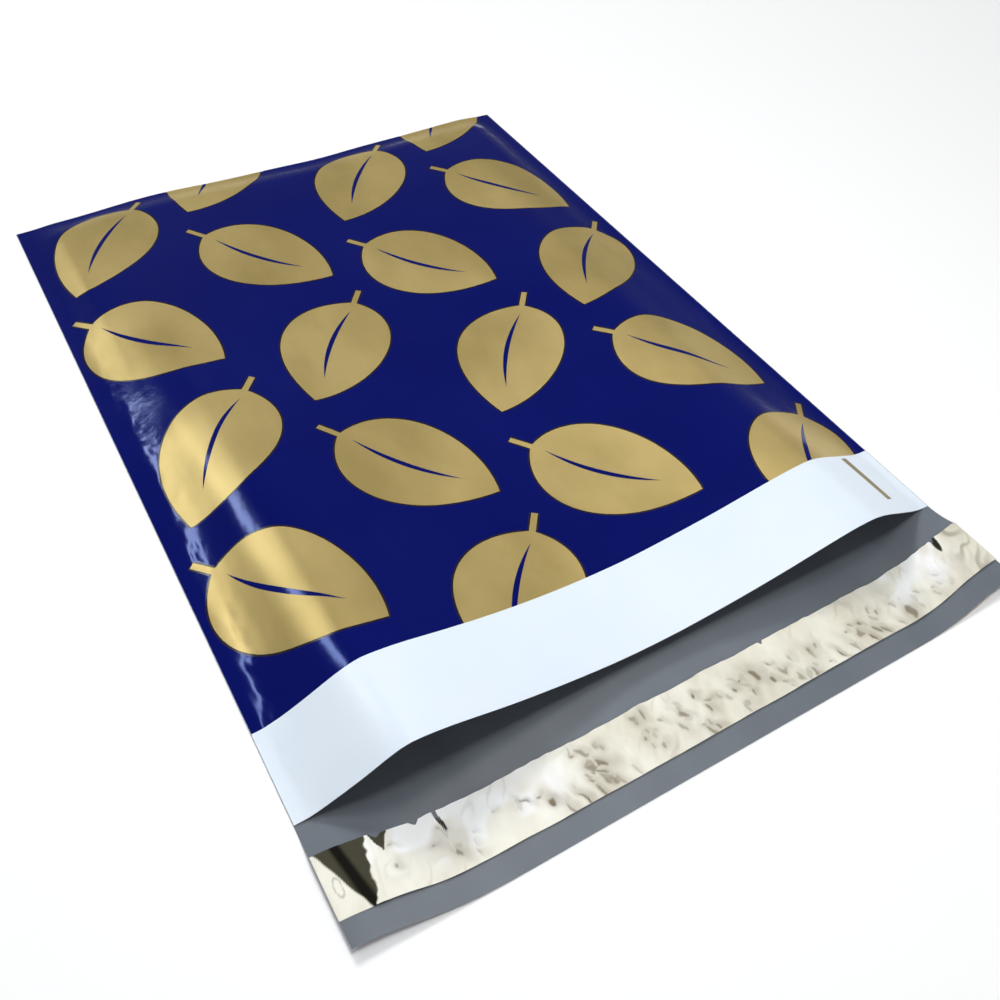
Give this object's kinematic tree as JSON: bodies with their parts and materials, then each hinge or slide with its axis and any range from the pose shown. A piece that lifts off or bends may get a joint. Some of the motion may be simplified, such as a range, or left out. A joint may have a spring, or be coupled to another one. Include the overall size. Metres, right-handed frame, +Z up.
{
  "type": "poly mailer bag",
  "caption": "Flat plastic mailing pouch with an all-over gold leaf print on navy, a white mouth band, and a flap with a peel-and-seal strip.",
  "frame": {"origin": "centre of the bounding box on the surface that the bag lies on", "axes": "+X across the bag to the right as seen from the flap, +Y from the flap's edge to the bottom fold, +Z up from the back panel to the front panel"},
  "size_m": [0.254, 0.374, 0.014],
  "materials": {
    "film_grey": "satin grey polyethylene film, inner layer",
    "ink_navy": "glossy navy ink on film",
    "film_white": "satin white outer layer of the film, unprinted",
    "ink_gold": "satin metallic gold ink",
    "glue": "tacky hot-melt adhesive",
    "liner": "shiny silvery release film, puckered"
  },
  "bodies": {
    "root": {"film_pouch": "film_grey", "navy_print": "ink_navy", "white_margin": "film_white", "register_mark": "ink_gold", "gold_leaf_back_1_1": "ink_gold", "gold_leaf_back_1_2": "ink_gold", "gold_leaf_back_1_3": "ink_gold", "gold_leaf_back_1_4": "ink_gold", "gold_leaf_back_1_5": "ink_gold", "gold_leaf_back_2_1": "ink_gold", "gold_leaf_back_2_2": "ink_gold", "gold_leaf_back_2_3": "ink_gold", "gold_leaf_back_2_4": "ink_gold", "gold_leaf_back_2_5": "ink_gold", "gold_leaf_back_3_1": "ink_gold", "gold_leaf_back_3_2": "ink_gold", "gold_leaf_back_3_3": "ink_gold", "gold_leaf_back_3_4": "ink_gold", "gold_leaf_back_3_5": "ink_gold", "gold_leaf_back_4_1": "ink_gold", "gold_leaf_back_4_2": "ink_gold", "gold_leaf_back_4_3": "ink_gold", "gold_leaf_back_4_4": "ink_gold", "gold_leaf_back_4_5": "ink_gold", "gold_leaf_fold_2": "ink_gold", "gold_leaf_fold_4": "ink_gold", "gold_leaf_front_1_1": "ink_gold", "gold_leaf_front_1_2": "ink_gold", "gold_leaf_front_1_3": "ink_gold", "gold_leaf_front_1_4": "ink_gold", "gold_leaf_front_2_1": "ink_gold", "gold_leaf_front_2_2": "ink_gold", "gold_leaf_front_2_3": "ink_gold", "gold_leaf_front_2_4": "ink_gold", "gold_leaf_front_3_1": "ink_gold", "gold_leaf_front_3_2": "ink_gold", "gold_leaf_front_3_3": "ink_gold", "gold_leaf_front_3_4": "ink_gold", "gold_leaf_front_4_1": "ink_gold", "gold_leaf_front_4_2": "ink_gold", "gold_leaf_front_4_3": "ink_gold", "gold_leaf_front_4_4": "ink_gold", "adhesive_strip": "glue", "release_liner": "liner"}
  },
  "joints": []
}
